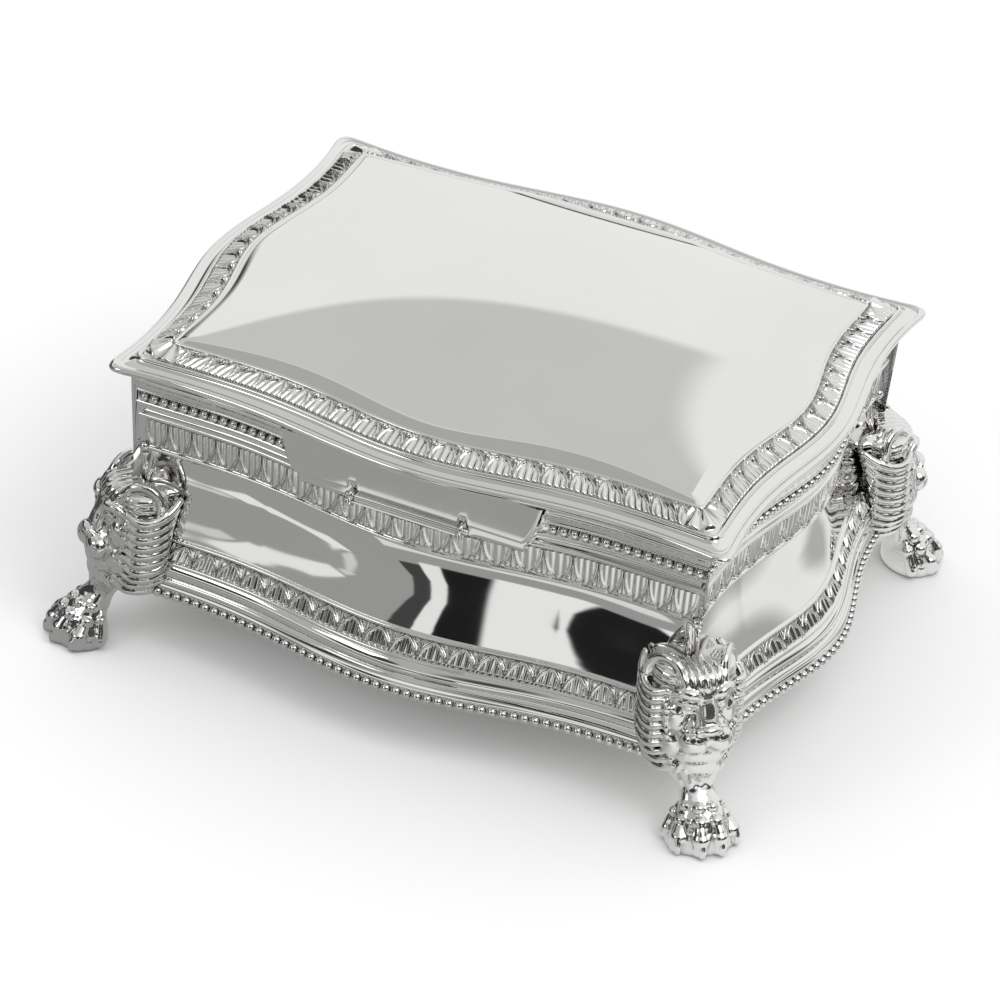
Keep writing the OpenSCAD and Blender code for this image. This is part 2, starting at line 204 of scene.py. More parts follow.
def velvet_mat():
    m, nt, b = new_mat("velvet_burgundy")
    n1 = noise(nt, 420, 4, 0.6)
    n2 = noise(nt, 28, 3, 0.5)
    c = ramp(nt, n2.outputs[0], [(0.32, (0.115, 0.006, 0.018)), (0.55, (0.17, 0.010, 0.028)), (0.75, (0.23, 0.018, 0.040))])
    nt.links.new(c.outputs[0], b.inputs["Base Color"])
    r = ramp(nt, n1.outputs[0], [(0.3, (0.72,) * 3), (0.7, (0.95,) * 3)])
    nt.links.new(r.outputs[0], b.inputs["Roughness"])
    b.inputs["Sheen Weight"].default_value = 0.7
    b.inputs["Sheen Roughness"].default_value = 0.35
    b.inputs["Sheen Tint"].default_value = (0.75, 0.30, 0.34, 1)
    bp = nt.nodes.new("ShaderNodeBump")
    bp.inputs["Strength"].default_value = 0.35
    bp.inputs["Distance"].default_value = 0.0003
    nt.links.new(n1.outputs[0], bp.inputs["Height"])
    nt.links.new(bp.outputs[0], b.inputs["Normal"])
    return m


def card_mat():
    m, nt, b = new_mat("stiff_card")
    c = ramp(nt, noise(nt, 300, 5, 0.7).outputs[0], [(0.35, (0.36, 0.28, 0.18)), (0.7, (0.46, 0.37, 0.25))])
    nt.links.new(c.outputs[0], b.inputs["Base Color"])
    r = ramp(nt, noise(nt, 150, 3).outputs[0], [(0.3, (0.8,) * 3), (0.7, (0.95,) * 3)])
    nt.links.new(r.outputs[0], b.inputs["Roughness"])
    return m


def brass_mat():
    m, nt, b = new_mat("plain_brass")
    b.inputs["Metallic"].default_value = 1.0
    c = ramp(nt, noise(nt, 200, 4).outputs[0], [(0.35, (0.62, 0.45, 0.20)), (0.7, (0.76, 0.60, 0.32))])
    nt.links.new(c.outputs[0], b.inputs["Base Color"])
    r = ramp(nt, noise(nt, 500, 3).outputs[0], [(0.3, (0.22,) * 3), (0.7, (0.42,) * 3)])
    nt.links.new(r.outputs[0], b.inputs["Roughness"])
    return m


SILVER = silver("silver_polished", rough=(0.025, 0.05), bump=0.0)
# chased and cast silver get painted shade together with real patina in their hollows
CHASED = silver("silver_chased", patina_and_shade=0.88, ao_mm=1.2, rough=(0.07, 0.14), bump=0.03)
MASKS = silver("silver_cast", patina_and_shade=0.85, ao_mm=1.6, rough=(0.06, 0.13), bump=0.04)
PLAIN = silver("silver_plain", rough=(0.05, 0.10), bump=0.01)
UNDER = silver("silver_underside", base=(0.72, 0.71, 0.69), rough=(0.28, 0.42), bump=0.06)
VELVET = velvet_mat()
CARD = card_mat()
BRASS = brass_mat()

# ---- walls -------------------------------------------------------------------
SEAM = 0.03


def corner_x(k, d): return short_x(1.0, k) - d
def corner_y(k, d): return long_y(1.0, k) - d


def wall_point(side, t, d, z, k):
    """Points of a wall's surface for arrays that broadcast together. side is rear, front, right or left."""
    t, d, z, k = np.broadcast_arrays(np.asarray(t, float), d, z, k)
    w = np.clip((np.abs(t) - 0.5) / 0.5, 0, 1)
    if side in ("rear", "front"):
        x = t * corner_x(1, 0) - np.sign(t) * (corner_x(1, 0) - corner_x(k, d) + SEAM) * w
        y = long_y(t, k) - d
        return np.stack([x, y, z], -1)
    y = t * corner_y(1, 0) - np.sign(t) * (corner_y(1, 0) - corner_y(k, d) + SEAM) * w
    x = short_x(t, k) - d
    return np.stack([x, y, z], -1)


def place(side, p):
    """From the rear or right wall to the one meant, keeping the handedness of a half turn."""
    if side in ("front", "left"):
        return p * [-1, -1, 1]
    return p


# inset, height, wave scale, from the top down
OUT = [
    (9.4, 67.75, 1), (6.0, 67.75, 1), (3.1, 67.75, 1), (2.85, 67.6, 1), (2.8, 67.2, 1), (2.85, 66.55, 1),
    (2.62, 66.3, 1), (2.42, 65.95, 1), (2.4, 65.6, 1), (2.5, 65.25, 1), (2.8, 64.95, 1),
    (3.0, 64.8, 1), (3.0, 64.2, 1), (3.12, 63.7, 1), (3.45, 63.25, 1), (3.8, 63.0, 1), (3.42, 62.85, 1), (3.38, 62.5, 1), (3.9, 62.35, 1),
    (4.05, 62.0, 1), (4.05, 61.3, 1), (4.05, 60.4, 1), (3.9, 60.05, 1), (3.35, 59.9, 1), (3.3, 59.5, 1), (3.6, 59.3, 1),
    (4.4, 58.95, 1), (5.0, 58.45, 1), (5.25, 57.9, 1), (5.2, 57.35, 1), (4.9, 56.95, 1), (4.5, 56.75, 1),
    (4.05, 56.65, 1), (3.8, 56.45, 1), (3.72, 56.15, 1), (3.8, 55.85, 1), (4.1, 55.65, 1), (4.6, 55.55, 1),
    (4.85, 55.4, 1), (5.3, 48.4, 1), (5.3, 48.1, 1), (4.85, 48.0, 1), (4.68, 47.8, 1), (4.66, 47.45, 1), (4.8, 47.2, 1), (5.6, 47.05, 1),
    (6.1, 46.9, 1), (6.12, 46.4, 1), (6.05, 45, 1), (5.85, 43, 1), (5.55, 41, 1), (5.15, 39, 1), (4.72, 37, 1), (4.27, 35, 1),
    (3.84, 33, 1), (3.42, 31, 1), (3.05, 29.2, 1), (2.82, 28.1, 1), (2.78, 27.9, 1), (2.3, 27.8, 1), (2.05, 27.6, 1), (2.0, 27.3, 1), (2.1, 27.05, 1), (2.5, 26.9, 1),
    (2.65, 26.75, 1), (0.85, 23.0, 1.12), (0.75, 22.8, 1.13), (0.3, 22.75, 1.14), (0.05, 22.6, 1.15), (-0.05, 22.3, 1.16), (0.1, 22.05, 1.17), (0.35, 21.95, 1.18),
    (0.1, 21.7, 1.2), (-0.25, 21.3, 1.22), (-0.6, 20.7, 1.25), (-0.78, 20.0, 1.28), (-0.72, 19.4, 1.31), (-0.5, 18.9, 1.33), (-0.3, 18.7, 1.34),
    (-0.32, 18.5, 1.345), (-0.85, 18.4, 1.35), (-1.0, 18.0, 1.36), (-1.15, 17.4, 1.38), (-1.4, 16.9, 1.39), (-1.62, 16.5, 1.4), (-1.65, 16.3, 1.4),
    (-1.6, 15.6, 1.4), (-1.6, 14.6, 1.4), (-1.75, 14.15, 1.4), (-1.7, 13.95, 1.4), (-1.0, 13.9, 1.4), (1.0, 13.9, 1.35), (3.2, 13.9, 1.3),
]
INN = [(3.2, 15.55, 1.3), (0.75, 15.6, 1.3), (0.75, 17.5, 1.3), (1.6, 19.8, 1.3), (2.4, 22.2, 1.15), (4.5, 26.8, 1), (6.8, 36.8, 1), (8.1, 45, 1),
       (7.6, 48.2, 1), (6.9, 55.2, 1), (7.0, 58, 1), (6.2, 61.4, 1), (6.4, 65.2, 1), (9.4, 66.4, 1)]


def densify(rows, gap):
    out = []
    for a, b in zip(rows, rows[1:]):
        a, b = np.array(a, float), np.array(b, float)
        n = max(1, int(round(np.hypot(b[0] - a[0], b[1] - a[1]) / gap)))
        for i in range(n):
            out.append(a + (b - a) * i / n)
    out.append(np.array(rows[-1], float))
    return np.array(out)


def recess_half(z):
    """Half width of the flat recess behind the hinge at a height."""
    return np.interp(z, [54.2, 56.0, 61.0, 67.8], [26.6, 26.8, 29.8, 31.5])


def cut_recess(p, slack=0.0):
    """Flattens what lies in the recess of the rear wall."""
    x, y, z = p[..., 0], p[..., 1], p[..., 2]
    inside = smooth(0.12, -0.12, np.abs(x) - recess_half(z)) * (z > RECESS_Z)
    y2 = y * (1 - inside) + (RECESS_Y - slack) * inside
    return np.stack([x, y2, z], -1)


def side_ts(side, n, extra=()):
    """Columns along a wall, evenly spaced, with a few more near the corners."""
    t = np.linspace(-1, 1, n)
    half = corner_x(1, 4) if side in ("rear", "front") else corner_y(1, 4)
    e = np.array([0.0, 0.12, 0.25, 0.5, 0.9, 1.15, 1.35, 1.5, 1.7, 1.85, 2.0]) / half
    t = np.unique(np.round(np.concatenate([t, 1 - e, e - 1, np.asarray(extra, float)]), 6))
    return t


def fillet_height(t, z, half):
    """The two upright fillets that frame each corner, with a seam between them."""
    s = (1 - np.abs(t)) * half
    across = smooth(0.0, 0.28, s) * smooth(1.95, 1.55, s) * (0.75 + 0.25 * np.cos((s - 1.0) * 2.2))
    up = smooth(28.2, 28.7, z) * smooth(46.9, 46.5, z)
    return 0.62 * across * up


def build_wall(side):
    rows = np.vstack([densify(OUT, 0.9), INN])
    half = corner_x(1, 4) if side in ("rear", "front") else corner_y(1, 4)
    extra = []
    if side == "rear":
        for h in (26.7, 28.5, 29.9, 31.0):
            extra += [s * (h + o) / corner_x(1, 0) for s in (-1, 1) for o in (-0.3, -0.12, 0, 0.12, 0.3)]
    t = side_ts(side, 220 if half > 60 else 180, extra)
    d, z, k = rows[:, 0:1], rows[:, 1:2], rows[:, 2:3]
    p = wall_point(side, t[None, :], d, z, k)
    n_out = len(rows) - len(INN)
    nn = normals(p)
    if nn[n_out // 2, len(t) // 2][0 if side in ("right", "left") else 1] < 0:
        nn = -nn
    h = fillet_height(t[None, :], p[..., 2], half)
    h[n_out - 6:] = 0
    p = p + nn * h[..., None]
    if side == "rear":
        q = cut_recess(p[:n_out], 0.35)
        q[:3] = p[:3]
        q[2, :, 1] = np.minimum(p[2, :, 1], q[3, :, 1] + 0.0) if len(q) > 3 else q[2, :, 1]
        p[:n_out] = q
        p[n_out:, :, 1] = np.minimum(p[n_out:, :, 1], RECESS_Y - 1.8)
    s = Soup()
    s.grid(place(side, p), wrap_rows=True)
    # close the two mitred ends
    for col, flip in ((0, False), (-1, True)):
        ring = place(side, p)[:, col]
        c = ring.mean(0)
        m = len(ring)
        f = [((i, (i + 1) % m, m) if flip else ((i + 1) % m, i, m)) for i in range(m)]
        s.add(np.vstack([ring, c]), f)
    return s.object("wall_%s_shape" % side, "box", "silver", SILVER)


# ---- leaf bands --------------------------------------------------------------
def leaf_height(a, b, pointed, ribs=5.0):
    """Relief of one leaf, 0 to about 1. a runs over (-0.5, 0.5) across it, b from 0 at its foot to 1 at its tip."""
    if pointed:
        w = 0.5 * np.clip(1 - np.power(np.clip(b / 0.985, 0, 1), 2.1), 0, 1) ** 0.85
    else:
        w = 0.5 * np.sqrt(np.clip(1 - np.power(np.clip(b / 0.95, 0, 1), 2.5), 0, 1))
    w = np.maximum(w, 1e-3)
    out = w - np.abs(a)                                  # distance inside the leaf's outline
    inside = smooth(-0.012, 0.02, out)
    edge = np.exp(-((out - 0.06) / 0.042) ** 2)
    rib = np.power(0.5 + 0.5 * np.cos(2 * PI * ribs * a), 0.8) * smooth(0.07, 0.13, out)
    body = 0.16 + 0.16 * np.sqrt(np.clip(1 - (np.abs(a) / w) ** 2, 0, 1))
    leaf = inside * (body + 0.8 * edge + 0.46 * rib * (0.8 + 0.2 * np.cos(PI * b)))
    gap = 0.5 - np.abs(a)
    stem = 0.52 * np.exp(-(gap / 0.045) ** 2) * smooth(0.22, 0.55, b) * (1 - inside)
    curl = 0.5 * np.exp(-(((gap - 0.17) / 0.05) ** 2 + ((b - 0.90) / 0.07) ** 2)) * (1 - inside)
    return leaf + stem + curl


def band(side, name, foot, tip, count, pointed, high, rows=30, per_leaf=30, ribs=4.5):
    """A leaf band between two (inset, height, wave) lines of a wall: foot is where the leaves start."""
    n = count * per_leaf + 1
    t = np.linspace(-1, 1, n)
    b = np.linspace(0, 1, rows)
    foot, tip = np.array(foot, float), np.array(tip, float)
    line = foot[None] + (tip - foot)[None] * b[:, None]
    p = wall_point(side, t[None, :], line[:, 0:1], line[:, 1:2], line[:, 2:3])
    nn = normals(p)
    if nn[rows // 2, n // 2][0 if side in ("right", "left") else 1] < 0:
        nn = -nn
    a = (t + 1) / 2 * count
    a = a - np.floor(np.minimum(a, count - 1e-9)) - 0.5
    h = leaf_height(a[None, :], b[:, None], pointed, ribs) * high
    # the field sinks under the fillets at both edges
    h = h * smooth(0, 0.07, b)[:, None] * smooth(1.0, 0.95, b)[:, None] - 0.05
    end = smooth(0.0, 0.9, (1 - np.abs(t)) * 60)[None, :]
    p = p + nn * (h * end)[..., None]
    hole = None
    if side == "rear" and foot[1] > 50:
        p = cut_recess(p, 0.7)
    s = Soup()
    flip = foot[1] < tip[1]
    s.grid(place(side, p), flip=flip)
    return s.object("%s_%s" % (name, side), "box", "silver", CHASED)


def along(side, d, z, k, pitch, trim=0.0):
    """Evenly spaced t values along a wall."""
    t = np.linspace(-1, 1, 2001)
    p = wall_point(side, t, d, z, k)
    s = np.concatenate([[0], np.cumsum(np.linalg.norm(np.diff(p, axis=0), axis=1))])
    n = int(round((s[-1] - 2 * trim) / pitch))
    at = trim + (s[-1] - 2 * trim) * (np.arange(n) + 0.5) / n
    return np.interp(at, s, t)


def build_beads(side):
    s = Soup()
    for d, z, k, r, pitch in ((-1.75, 15.15, 1.4, 1.16, 2.4), (3.75, 61.2, 1.0, 1.12, 2.42)):
        ts = along(side, d, z, k, pitch, 0.2)
        c = wall_point(side, ts, d, z, k)
        for q in c:
            if side == "rear" and z > 50 and abs(q[0]) < recess_half(z) + 1.0:
                continue
            s.ball(place(side, q), r, 12, 8, axis=1 if side in ("rear", "front") else 0)
    return s.object("beads_%s" % side, "box", "silver", CHASED)


SIDES = ("rear", "front", "right", "left")
for side in SIDES:
    w = build_wall(side)
    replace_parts(w, "wall_" + side)
    long = side in ("rear", "front")
    band(side, "leaves_upper", (4.95, 55.62, 1), (5.3, 48.05, 1), 21 if long else 17, False, 0.92, rows=34, per_leaf=30, ribs=4.0)
    band(side, "leaves_lower", (0.72, 22.85, 1.125), (2.7, 26.95, 1), 22 if long else 17, True, 0.85, rows=26, per_leaf=30, ribs=4.0)
    build_beads(side)

s = Soup()
for sx in (-1, 1):
    for sy in (-1, 1):
        s.ball((sx * (corner_x(1, 4.9) - 0.15), sy * (corner_y(1, 4.9) - 0.15), 47.6), 1.25, 20, 14)
s.object("corner_knobs", "box", "silver", CHASED)

# ---- lid ---------------------------------------------------------------------
def side_flare(t): return 1.5 * np.clip((np.abs(t) - 0.72) / 0.28, 0, 1) ** 2
def flare_at(t, d): return side_flare(t) * np.clip(1 - d / 6, 0, 1)
def lid_cx(d): return float(lid_x(1.0) - d + flare_at(1.0, d))
def lid_cy(d): return float(lid_y(1.0) - d + flare_at(1.0, d))


def lid_ring(d, r, ns, nl, m):
    """Ring of the lid's outline at an inset, counter-clockwise from the middle of the +X side."""
    cx, cy = lid_cx(d), lid_cy(d)
    ty, tx = 1 - r / cy, 1 - r / cx
    def sh(t): return np.stack([lid_x(t) - d + flare_at(t, d), t * cy], -1)
    def lo(t): return np.stack([t * cx, lid_y(t) - d + flare_at(t, d)], -1)
    a, b, c = sh(np.array(ty)), lo(np.array(tx)), np.array([cx, cy])
    u = np.linspace(0, 1, m + 1)[1:-1, None]
    q = np.vstack([sh(ty * np.linspace(0, 1, ns + 1)), (1 - u) ** 2 * a + 2 * u * (1 - u) * c + u * u * b,
                   lo(tx * np.linspace(1, 0, nl + 1))])
    q2, q3, q4 = q[::-1] * [-1, 1], q * [-1, -1], q[::-1] * [1, -1]
    return np.vstack([q[:-1], q2[:-1], q3[:-1], q4[:-1]])


def rounding(d): return max(1.2, 4.5 - 0.45 * d)


LID_OUT = [(0.9, 0.0), (0.5, 0.1), (0.16, 0.42), (0.02, 0.85), (0.14, 1.25), (0.42, 1.58), (0.85, 1.75), (1.15, 1.7), (1.38, 1.55), (1.5, 1.4),
           (2.1, 1.42), (2.7, 1.58), (3.25, 1.86), (3.7, 2.25), (3.95, 2.6), (4.0, 2.85), (4.08, 3.06), (4.28, 3.2), (4.5, 3.16), (4.64, 3.0), (4.7, 2.86),
           (4.85, 2.85), (9.5, 4.5), (9.6, 4.66), (9.66, 4.96), (9.78, 5.16), (9.98, 5.24), (10.2, 5.2), (10.32, 5.08), (10.5, 5.1)]
LID_IN = [(10.6, 4.0), (9.6, 3.55), (7.5, 2.75), (5.4, 1.95), (4.6, 1.15), (3.6, 0.85), (2.6, 0.55), (2.4, 0.0)]


def dome_share(s, p, m, k):
    u, v = s * p[:, 0] / m, s * p[:, 1] / k
    return np.clip((1 - u * u) * (1 - v * v), 0, None) ** 0.8


def dome(d, z0, rise, ss, ns, nl, m):
    r0 = lid_ring(d, 1.2, ns, nl, m)
    mx, my = r0[:, 0].max() + 0.8, r0[:, 1].max() + 0.8
    return [np.column_stack([s * r0, z0 + rise * dome_share(s, r0, mx, my)]) for s in ss]


def build_lid():
    ns, nl, m = 84, 104, 10
    out = densify([(a, b, 0) for a, b in LID_OUT], 0.7)
    rows = [np.column_stack([lid_ring(d, rounding(d), ns, nl, m), np.full(4 * (ns + m + nl), RIM_Z + z)]) for d, z, _ in out]
    rows += dome(10.5, RIM_Z + 5.08, 9.0, 1 - np.linspace(0.006, 0.985, 30) ** 0.9, ns, nl, m)
    inner = dome(10.6, RIM_Z + 4.0, 9.0, np.linspace(0.05, 0.97, 10), ns, nl, m)
    inner += [np.column_stack([lid_ring(d, rounding(d), ns, nl, m), np.full(4 * (ns + m + nl), RIM_Z + z)]) for d, z in LID_IN]
    s = Soup()
    p = np.array(rows)
    n = p.shape[1]
    s.grid(p, wrap_cols=True)
    s.add(np.vstack([p[-1], [0, 0, RIM_Z + 14.1]]), [(j, (j + 1) % n, n) for j in range(n)])
    q = np.array(inner)
    s.add(np.vstack([q[0], [0, 0, RIM_Z + 13.0]]), [((j + 1) % n, j, n) for j in range(n)])
    s.grid(q, wrap_cols=True)
    s.grid(np.array([q[-1], p[0]]), wrap_cols=True)
    return s.object("lid_shape", "lid", "silver", SILVER)


def build_lid_border():
    """Chased border between the lid's outer fillet and the dome."""
    per, cl, cs, rows = 26, 21, 16, 26
    nl, ns, m = cl * per // 2, cs * per // 2, 14
    b = np.linspace(0, 1, rows)
    p = np.array([np.column_stack([lid_ring(d, rounding(d), ns, nl, m), np.full(4 * (ns + nl + m), RIM_Z + z)])
                  for d, z in zip(4.7 + 4.94 * b, 2.84 + 1.74 * b)])
    x, y = np.abs(p[..., 0]), np.abs(p[..., 1])
    cols = p.shape[1]
    # leaf coordinate of each column
    quad = np.concatenate([np.linspace(0, 0.5 * cs, ns + 1), 0.5 * cs + np.linspace(0, 1, m + 1)[1:-1], np.linspace(0.5 * cl, 0, nl + 1)])
    kind = np.concatenate([np.zeros(ns + 1), np.full(m - 1, 0.5), np.ones(nl + 1)])
    order = [np.arange(len(quad))[:-1], np.arange(len(quad))[::-1][:-1]] * 2
    lead = np.concatenate([quad[o] for o in order])
    kd = np.concatenate([kind[o] for o in order])
    count = np.where(kd > 0.5, cl, cs)
    a = lead + np.where(count % 2 == 1, 0.5, 0.0)
    a = a - np.floor(a) - 0.5
    a = np.broadcast_to(a, x.shape)
    bb = np.broadcast_to(b[:, None], x.shape)
    h = leaf_height(a, bb, False, 4.0)
    # a bead between each pair of tips
    gap = np.minimum(np.abs(a - 0.5), np.abs(a + 0.5))
    h = h + 0.55 * np.sqrt(np.clip(1 - (gap / 0.13) ** 2 - ((bb - 0.84) / 0.13) ** 2, 0, 1))
    # palmettes at the corners
    cx, cy = lid_cx(9.6), lid_cy(9.6)
    dx, dy = x - (cx - 1.2), y - (cy - 1.2)
    ang = np.arctan2(dy, dx)
    rad = np.hypot(dx, dy)
    zone = smooth(-2.4, -1.0, dx) * smooth(-2.4, -1.0, dy)
    fan = (0.62 + 0.34 * np.cos((ang - PI / 4) * 9)) * smooth(6.9, 6.0, rad) + 0.1
    h = h * (1 - zone) + fan * zone
    h = h * 0.98 * smooth(0, 0.07, b)[:, None] * smooth(1.0, 0.95, b)[:, None] - 0.05
    nn = normals(p)
    if nn[rows // 2, 5, 2] < 0:
        nn = -nn
    s = Soup()
    s.grid(p + nn * h[..., None], wrap_cols=True)
    return s.object("lid_border", "lid", "silver", CHASED)


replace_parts(build_lid(), "lid_shell")
build_lid_border()

# ---- linings -----------------------------------------------------------------
def ripple(p, seed, scale, amount):
    """Gentle unevenness of a stuffed pad."""
    rng = np.random.default_rng(seed)
    h = np.zeros(p.shape[:-1])
    for i in range(7):
        k = rng.normal(size=3) * scale
        h += np.sin(p @ k + rng.uniform(0, 6.3)) / 7
    return h * amount


def pad_strip(side, seed):
    """Padded velvet strip along one wall, rounded at its edges."""
    prof = [(9.75, 18.4), (9.7, 19.5), (9.68, 30), (9.66, 43), (9.66, 56), (9.68, 65.5), (9.8, 66.5), (10.15, 67.0), (10.6, 67.18), (11.05, 67.0),
            (11.35, 66.45), (11.5, 65.4)] + [(11.56, z) for z in np.linspace(63.5, 22.5, 26)] + [(11.5, 21.2), (11.3, 20.0), (10.9, 18.6), (10.4, 18.35)]
    rows = np.array([(d, z, 1.0) for d, z in prof])
    n = 150 if side in ("rear", "front") else 120
    t = np.linspace(-1, 1, n)
    d, z, k = rows[:, 0:1], rows[:, 1:2], rows[:, 2:3]
    cx, cy = corner_x(1, d), corner_y(1, d)
    t2 = t[None, :] + 0 * d
    if side in ("rear", "front"):
        y = long_y(t2, 1) - d
        p = np.stack([t2 * cx, y, z + 0 * t2], -1)
        if side == "rear":
            p[..., 1] = np.minimum(p[..., 1], 999)
    else:
        p = np.stack([short_x(t2, 1) - d, t2 * cy, z + 0 * t2], -1)
    ax = 1 if side in ("rear", "front") else 0
    puff = (smooth(11.2, 11.5, d) * (smooth(0, 0.06, 1 - np.abs(t2)) - 1) * 0.5)
    p[..., ax] -= puff
    face = smooth(11.0, 11.5, d)
    p[..., ax] += face * np.abs(ripple(p, seed, 0.22, 0.55))
    s = Soup()
    s.grid(place(side, p), wrap_rows=True)
    for col, flip in ((0, False), (-1, True)):
        ring = place(side, p)[:, col]
        c = ring.mean(0)
        m = len(ring)
        s.add(np.vstack([ring, c]), [((i, (i + 1) % m, m) if flip else ((i + 1) % m, i, m)) for i in range(m)])
    ob = s.object("velvet_" + side, "box", "velvet", VELVET)
    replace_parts(ob, "lining_" + side)


def body_ring(k, d, nl, ns):
    tl, ts = np.linspace(1, -1, nl)[:-1], np.linspace(-1, 1, ns)[:-1]
    cx, cy = corner_x(k, d), corner_y(k, d)
    r = np.column_stack([short_x(ts, k) - d, ts * cy])
    b = np.column_stack([tl * cx, long_y(tl, k) - d])
    return np.vstack([r, b, -r, -b])


def pad_flat(name, ring_at, d0, z0, z1, down, body, node, seed):
    """Flat stuffed pad. ring_at(d) is its outline at an inset; down turns its full face to the ground."""
    h = z1 - z0
    rows = []
    for a in np.linspace(0, PI, 10):
        rows.append((d0 + 0.9 * (1 - math.sin(a)) * 1.0, (z0 + z1) / 2 - (h / 2) * math.cos(a)))
    seq = [(d, z) for d, z in rows]
    outer = np.array([np.column_stack([ring_at(d), np.full(len(ring_at(d)), z)]) for d, z in seq])
    n = outer.shape[1]
    s = Soup()
    s.grid(outer, wrap_cols=True)
    full = np.array([outer[-1] * [k, k, 0] + [0, 0, z1] for k in np.linspace(1, 0.03, 40)])
    back = np.array([outer[0] * [k, k, 0] + [0, 0, z0] for k in np.linspace(1, 0.03, 6)])
    face, sign = (back, 1) if down else (full, -1)
    if down:
        back = np.array([outer[0] * [k, k, 0] + [0, 0, z0] for k in np.linspace(1, 0.03, 40)])
        face = back
    k = np.linspace(1, 0.03, len(face))[:, None]
    dip = ripple(face, seed, 0.12, 0.5)
    face[..., 2] += sign * (0.25 + dip) * smooth(0, 0.12, 1 - k)
    face[0, :, 2] = z0 if down else z1
    for g, flip in ((full, False), (back, True)):
        s.grid(g, wrap_cols=True, flip=flip)
        c = g[-1].mean(0)
        s.add(np.vstack([g[-1], c]), [((j + 1) % n, j, n) if flip else (j, (j + 1) % n, n) for j in range(n)])
    ob = s.object(name, body, "velvet", VELVET)
    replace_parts(ob, node)


for i, side in enumerate(SIDES):
    pad_strip(side, 11 + i)
pad_flat("velvet_floor", lambda d: body_ring(1.0, d, 130, 110), 11.85, 18.32, 20.8, False, "box", "lining_floor", 21)
pad_flat("velvet_lid", lambda d: lid_ring(d, 1.5, 60, 70, 8), 7.35, RIM_Z + 0.6, RIM_Z + 2.44, True, "lid", "lid_lining", 22)

# ---- lion feet -----------------------------------------------------------------
# Foot frame in mm: u outward along the diagonal from the middle of the paw, v across it, z up.
APEX_Z = [13.9, 15.2, 18.4, 20.8, 22.7, 26.9, 32, 37, 42, 46, 47, 48.2, 50]
APEX_D = [-1.65, -1.6, -0.8, -0.6, 0.3, 2.5, 3.6, 4.7, 5.7, 6.1, 5.2, 5.2, 5.2]
APEX_K = [1.4, 1.4, 1.35, 1.25, 1.14, 1, 1, 1, 1, 1, 1, 1, 1]
APEX_U = [(corner_x(k, d) - PAW_X + corner_y(k, d) - PAW_Y) / math.sqrt(2) for d, k in zip(APEX_D, APEX_K)]


def apex(z): return float(np.interp(z, APEX_Z, APEX_U))


